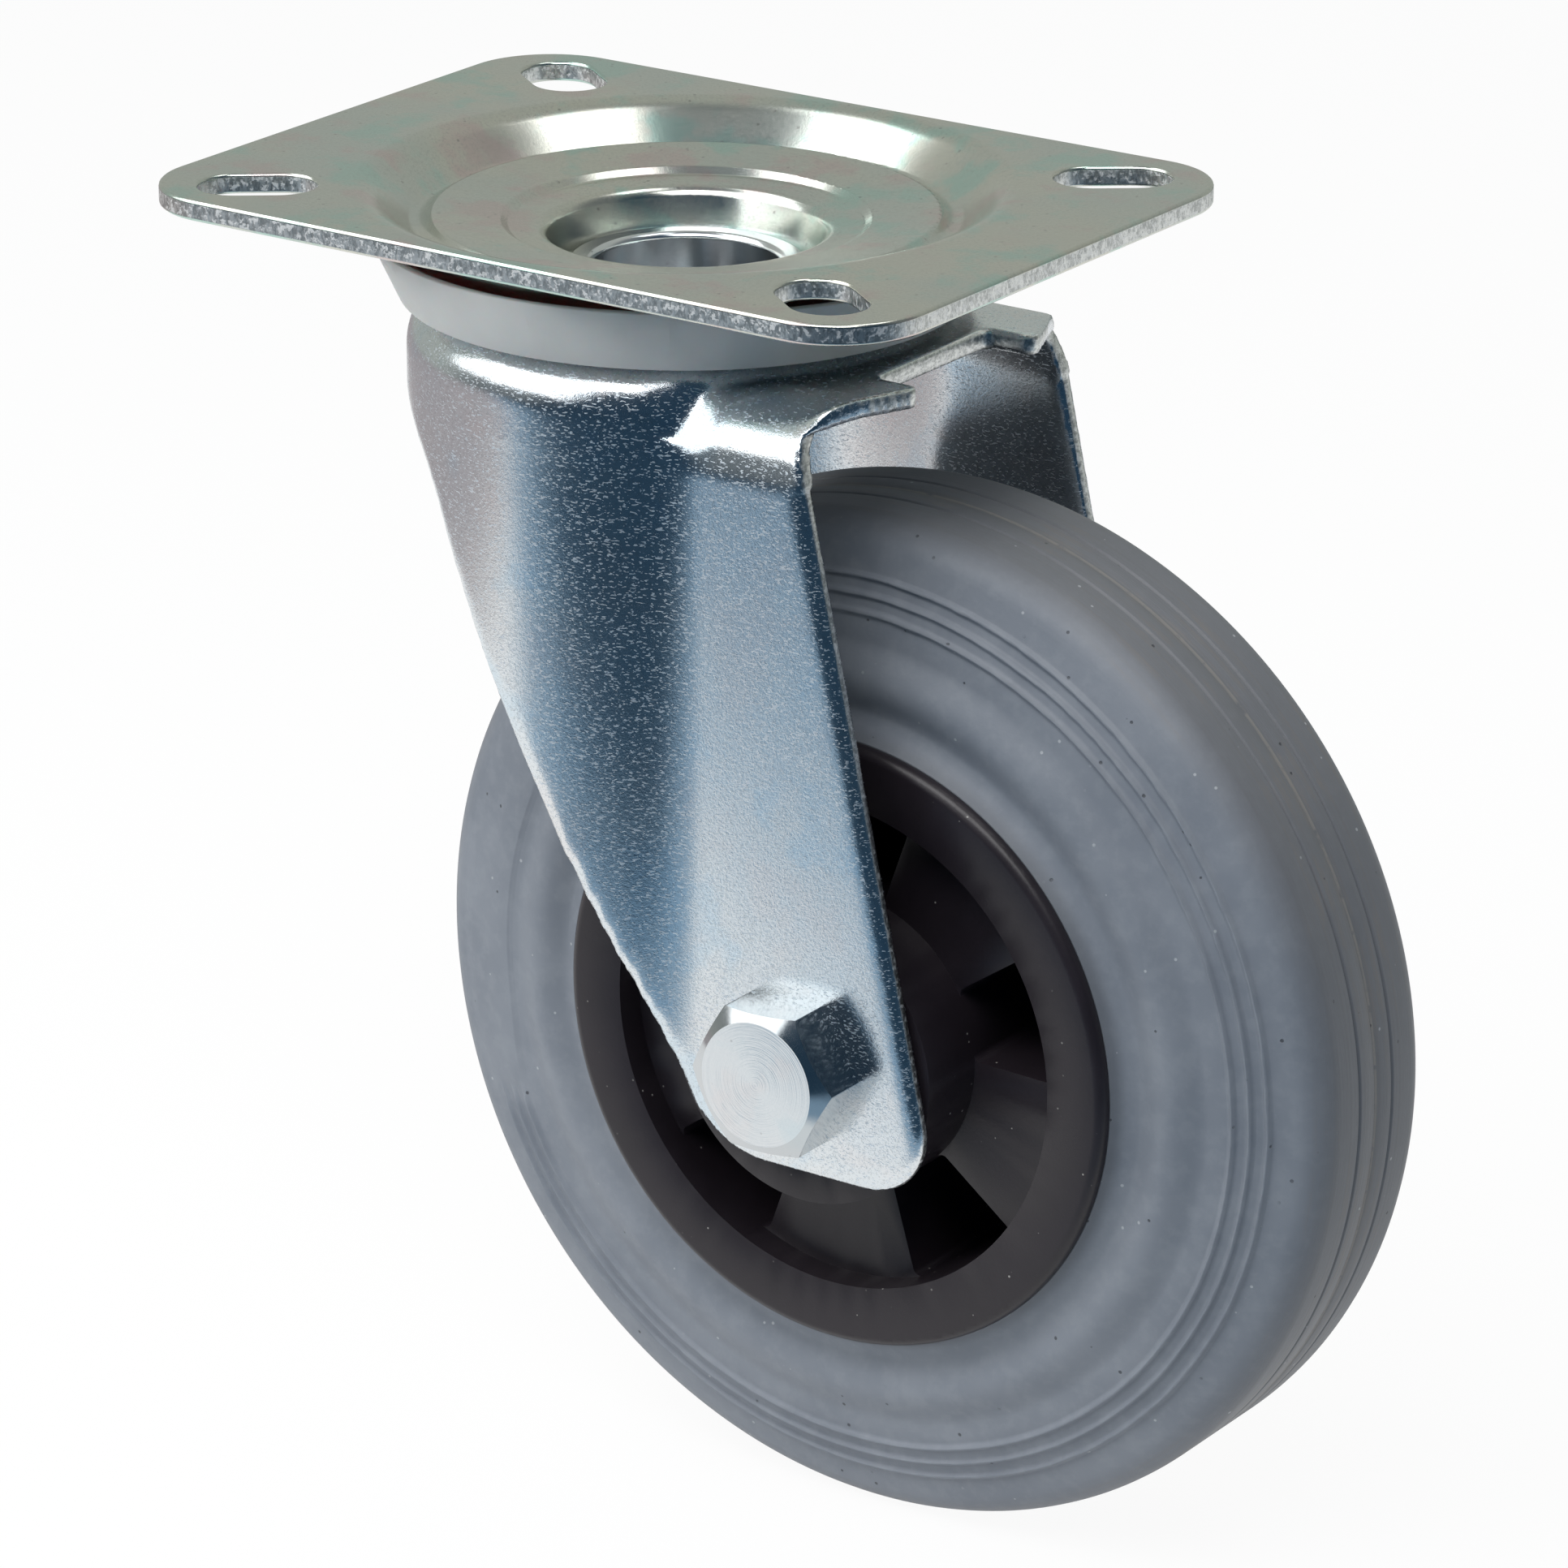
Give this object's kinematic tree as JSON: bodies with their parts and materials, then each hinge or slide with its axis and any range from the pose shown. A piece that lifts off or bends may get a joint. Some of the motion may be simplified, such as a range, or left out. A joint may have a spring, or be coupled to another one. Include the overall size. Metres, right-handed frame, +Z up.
{
  "type": "swivel castor",
  "caption": "Swivel castor: a slotted top plate and ball-race swivel head carry a drawn steel fork with a rubber-tyred plastic wheel on a bolted axle.",
  "frame": {"origin": "centre of the top plate's upper face, on the swivel axis", "axes": "+Z up out of the plate, +X towards the side the wheel trails on, Y along the wheel's axle"},
  "size_m": [0.149, 0.08, 0.157],
  "materials": {
    "plate_zinc": "bright zinc plating, grey-green, faintly iridescent",
    "pin_zinc": "bright zinc plating",
    "fork_zinc": "bright zinc plating over drawn sheet, fine grain",
    "bolt_zinc": "bright zinc plating over a turned head",
    "race_steel": "plain steel",
    "ball_steel": "polished bearing steel",
    "seal_plastic": "moulded, slightly translucent",
    "insert_plastic": "moulded",
    "rim_plastic": "moulded, satin",
    "cage_plastic": "moulded",
    "tyre_rubber": "blue-grey moulded rubber, non-marking"
  },
  "bodies": {
    "plate": {"top_plate": "plate_zinc", "kingpin": "pin_zinc", "lower_race": "race_steel"},
    "fork": {"fork": "fork_zinc", "dust_seal": "seal_plastic", "upper_balls": "ball_steel", "lower_balls": "ball_steel", "axle_bolt": "bolt_zinc", "lock_nut": "bolt_zinc", "nut_insert": "insert_plastic", "axle_tube": "race_steel"},
    "wheel": {"wheel_rim": "rim_plastic", "tyre": "tyre_rubber", "roller_cage": "cage_plastic", "rollers": "ball_steel", "near_hub_washer": "race_steel", "far_hub_washer": "race_steel"}
  },
  "joints": [
    {"name": "swivel", "type": "hinge", "parent": "plate", "child": "fork", "pos_m": [0, 0, 0], "axis": [0, 0, 1], "continuous": true},
    {"name": "wheel_spin", "type": "hinge", "parent": "fork", "child": "wheel", "pos_m": [0.034, 0, -0.0945], "axis": [0, 1, 0], "continuous": true}
  ]
}
